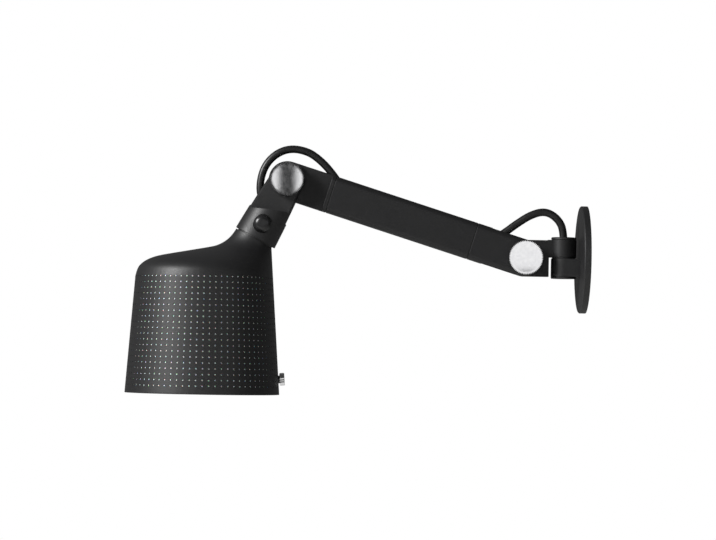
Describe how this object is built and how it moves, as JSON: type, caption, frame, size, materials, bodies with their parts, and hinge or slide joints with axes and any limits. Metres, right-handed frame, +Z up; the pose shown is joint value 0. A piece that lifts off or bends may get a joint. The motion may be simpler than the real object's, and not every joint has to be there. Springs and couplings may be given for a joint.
{
  "type": "articulating wall lamp",
  "caption": "Wall lamp with a swivelling hinge, a box-section arm clamped by two knurled knobs, and a perforated bell shade on a locking swivel, with its cord running through the arm.",
  "frame": {"origin": "centre of the wall plate's back face, which is the wall's surface", "axes": "+X into the wall, so the lamp reaches out along -X; +Z up; the clamp knobs face -Y"},
  "size_m": [0.4271, 0.1436, 0.2326],
  "materials": {
    "black_powder_coat": "fine-textured matt black powder coat",
    "coated_aluminium": "fine-textured matt black powder coat over aluminium",
    "turned_aluminium": "turned and brushed bright, with a knurled edge",
    "black_plastic": "satin moulding",
    "white_plastic": "matt white diffuser",
    "cord_rubber": "smooth round cord jacket",
    "zinc_steel": "bright zinc plate",
    "nylon": "moulded friction washer",
    "brass": "turned",
    "bulb_metal": "rolled thread",
    "bulb_glass": "opal"
  },
  "bodies": {
    "wall": {"mounting_plate": "zinc_steel", "wall_cover": "black_powder_coat", "cover_screws": "zinc_steel", "wall_knuckle": "coated_aluminium", "knuckle_screws": "zinc_steel", "hinge_tube": "zinc_steel", "hinge_washer": "nylon", "hinge_nut": "zinc_steel", "hinge_plug": "coated_aluminium", "cord_wall_run": "cord_rubber"},
    "block": {"swivel_block": "coated_aluminium", "hinge_bush": "nylon", "barrel_gland": "coated_aluminium", "cord_wall_loop": "cord_rubber"},
    "arm": {"arm_fork": "coated_aluminium", "arm_tube": "coated_aluminium", "arm_tongue": "coated_aluminium", "arm_screws": "zinc_steel", "wall_pivot_bolt": "zinc_steel", "wall_pivot_washers": "nylon", "cord_arm_run": "cord_rubber", "cord_elbow_loop": "cord_rubber"},
    "wall_knob": {"wall_clamp_knob": "turned_aluminium"},
    "yoke": {"head_yoke": "coated_aluminium", "elbow_pivot_bolt": "zinc_steel", "elbow_pivot_washers": "nylon", "head_washer": "nylon"},
    "elbow_knob": {"elbow_clamp_knob": "turned_aluminium"},
    "lock_knob": {"swivel_lock_screw": "black_plastic"},
    "shade": {"head_spigot": "brass", "spigot_nut": "brass", "shade": "black_powder_coat", "light_sleeve": "white_plastic", "lampholder": "black_plastic", "bulb_cap": "bulb_metal", "bulb_glass": "bulb_glass", "dimmer_body": "black_plastic", "dimmer_lead": "cord_rubber", "cord_head_run": "cord_rubber"},
    "dimmer_dial": {"dimmer_knob": "turned_aluminium"}
  },
  "joints": [
    {"name": "wall_swivel", "type": "hinge", "parent": "wall", "child": "block", "pos_m": [-0.021, 0, 0.0013], "axis": [0, 0, 1], "range_deg": [-65, 65]},
    {"name": "arm_tilt", "type": "hinge", "parent": "block", "child": "arm", "pos_m": [-0.0577, 0, 0.00055], "axis": [0, 1, 0], "range_deg": [-60, 60], "deforming": ["cord_wall_loop"]},
    {"name": "wall_knob_turn", "type": "hinge", "parent": "arm", "child": "wall_knob", "pos_m": [-0.0577, -0.0129, 0.00055], "axis": [0, -1, 0], "range_deg": [0, 360]},
    {"name": "elbow_tilt", "type": "hinge", "parent": "arm", "child": "yoke", "pos_m": [-0.2798, 0, 0.06896], "axis": [0, 1, 0], "range_deg": [-40, 75], "deforming": ["cord_elbow_loop"]},
    {"name": "elbow_knob_turn", "type": "hinge", "parent": "yoke", "child": "elbow_knob", "pos_m": [-0.2798, -0.0129, 0.06896], "axis": [0, -1, 0], "range_deg": [0, 360]},
    {"name": "lock_knob_turn", "type": "hinge", "parent": "yoke", "child": "lock_knob", "pos_m": [-0.30196, -0.0184, 0.02729], "axis": [0, -1, 0], "range_deg": [0, 360]},
    {"name": "head_swivel", "type": "hinge", "parent": "yoke", "child": "shade", "pos_m": [-0.2798, 0, 0.06896], "axis": [0.4695, 0, 0.8829], "range_deg": [-150, 150]},
    {"name": "dimmer_turn", "type": "hinge", "parent": "shade", "child": "dimmer_dial", "pos_m": [-0.28454, 0, -0.1166], "axis": [0.9974, 0, 0.0722], "range_deg": [0, 300]}
  ]
}
